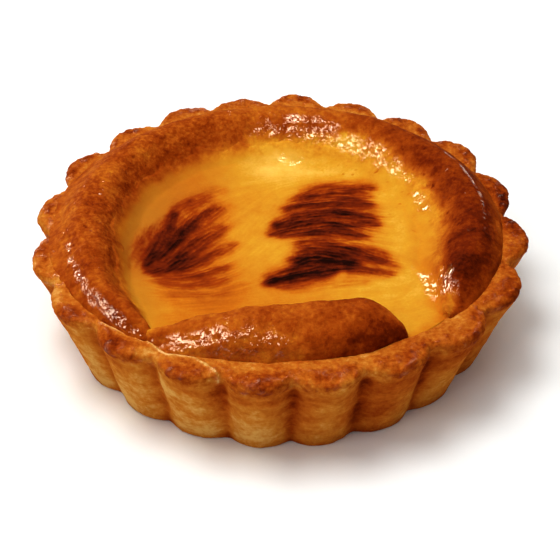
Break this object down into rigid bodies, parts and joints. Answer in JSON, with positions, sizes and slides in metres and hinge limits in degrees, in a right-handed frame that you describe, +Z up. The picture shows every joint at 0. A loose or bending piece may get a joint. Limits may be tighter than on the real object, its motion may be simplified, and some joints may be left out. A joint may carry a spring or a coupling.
{
  "type": "peach tart",
  "caption": "Small round fluted tart with a glazed, puffed pastry collar round a shallow baked peach filling that is browned in streaks.",
  "frame": {"origin": "centre of the underside, below the middle of the tart's outline", "axes": "+Z up; -Y towards the viewer of the picture, the side with the separate puff; +X to that viewer's right"},
  "size_m": [0.1006, 0.1004, 0.0253],
  "materials": {
    "shortcrust": "dry, grained baked pastry, browner at the rim",
    "peach": "moist, smooth, with dark caramelised streaks",
    "glazed_pastry": "puffed, egg-washed and glazed, deep golden brown"
  },
  "bodies": {
    "root": {"pastry_case": "shortcrust", "peach_filling": "peach", "puffed_collar": "glazed_pastry", "front_puff": "glazed_pastry"}
  },
  "joints": []
}
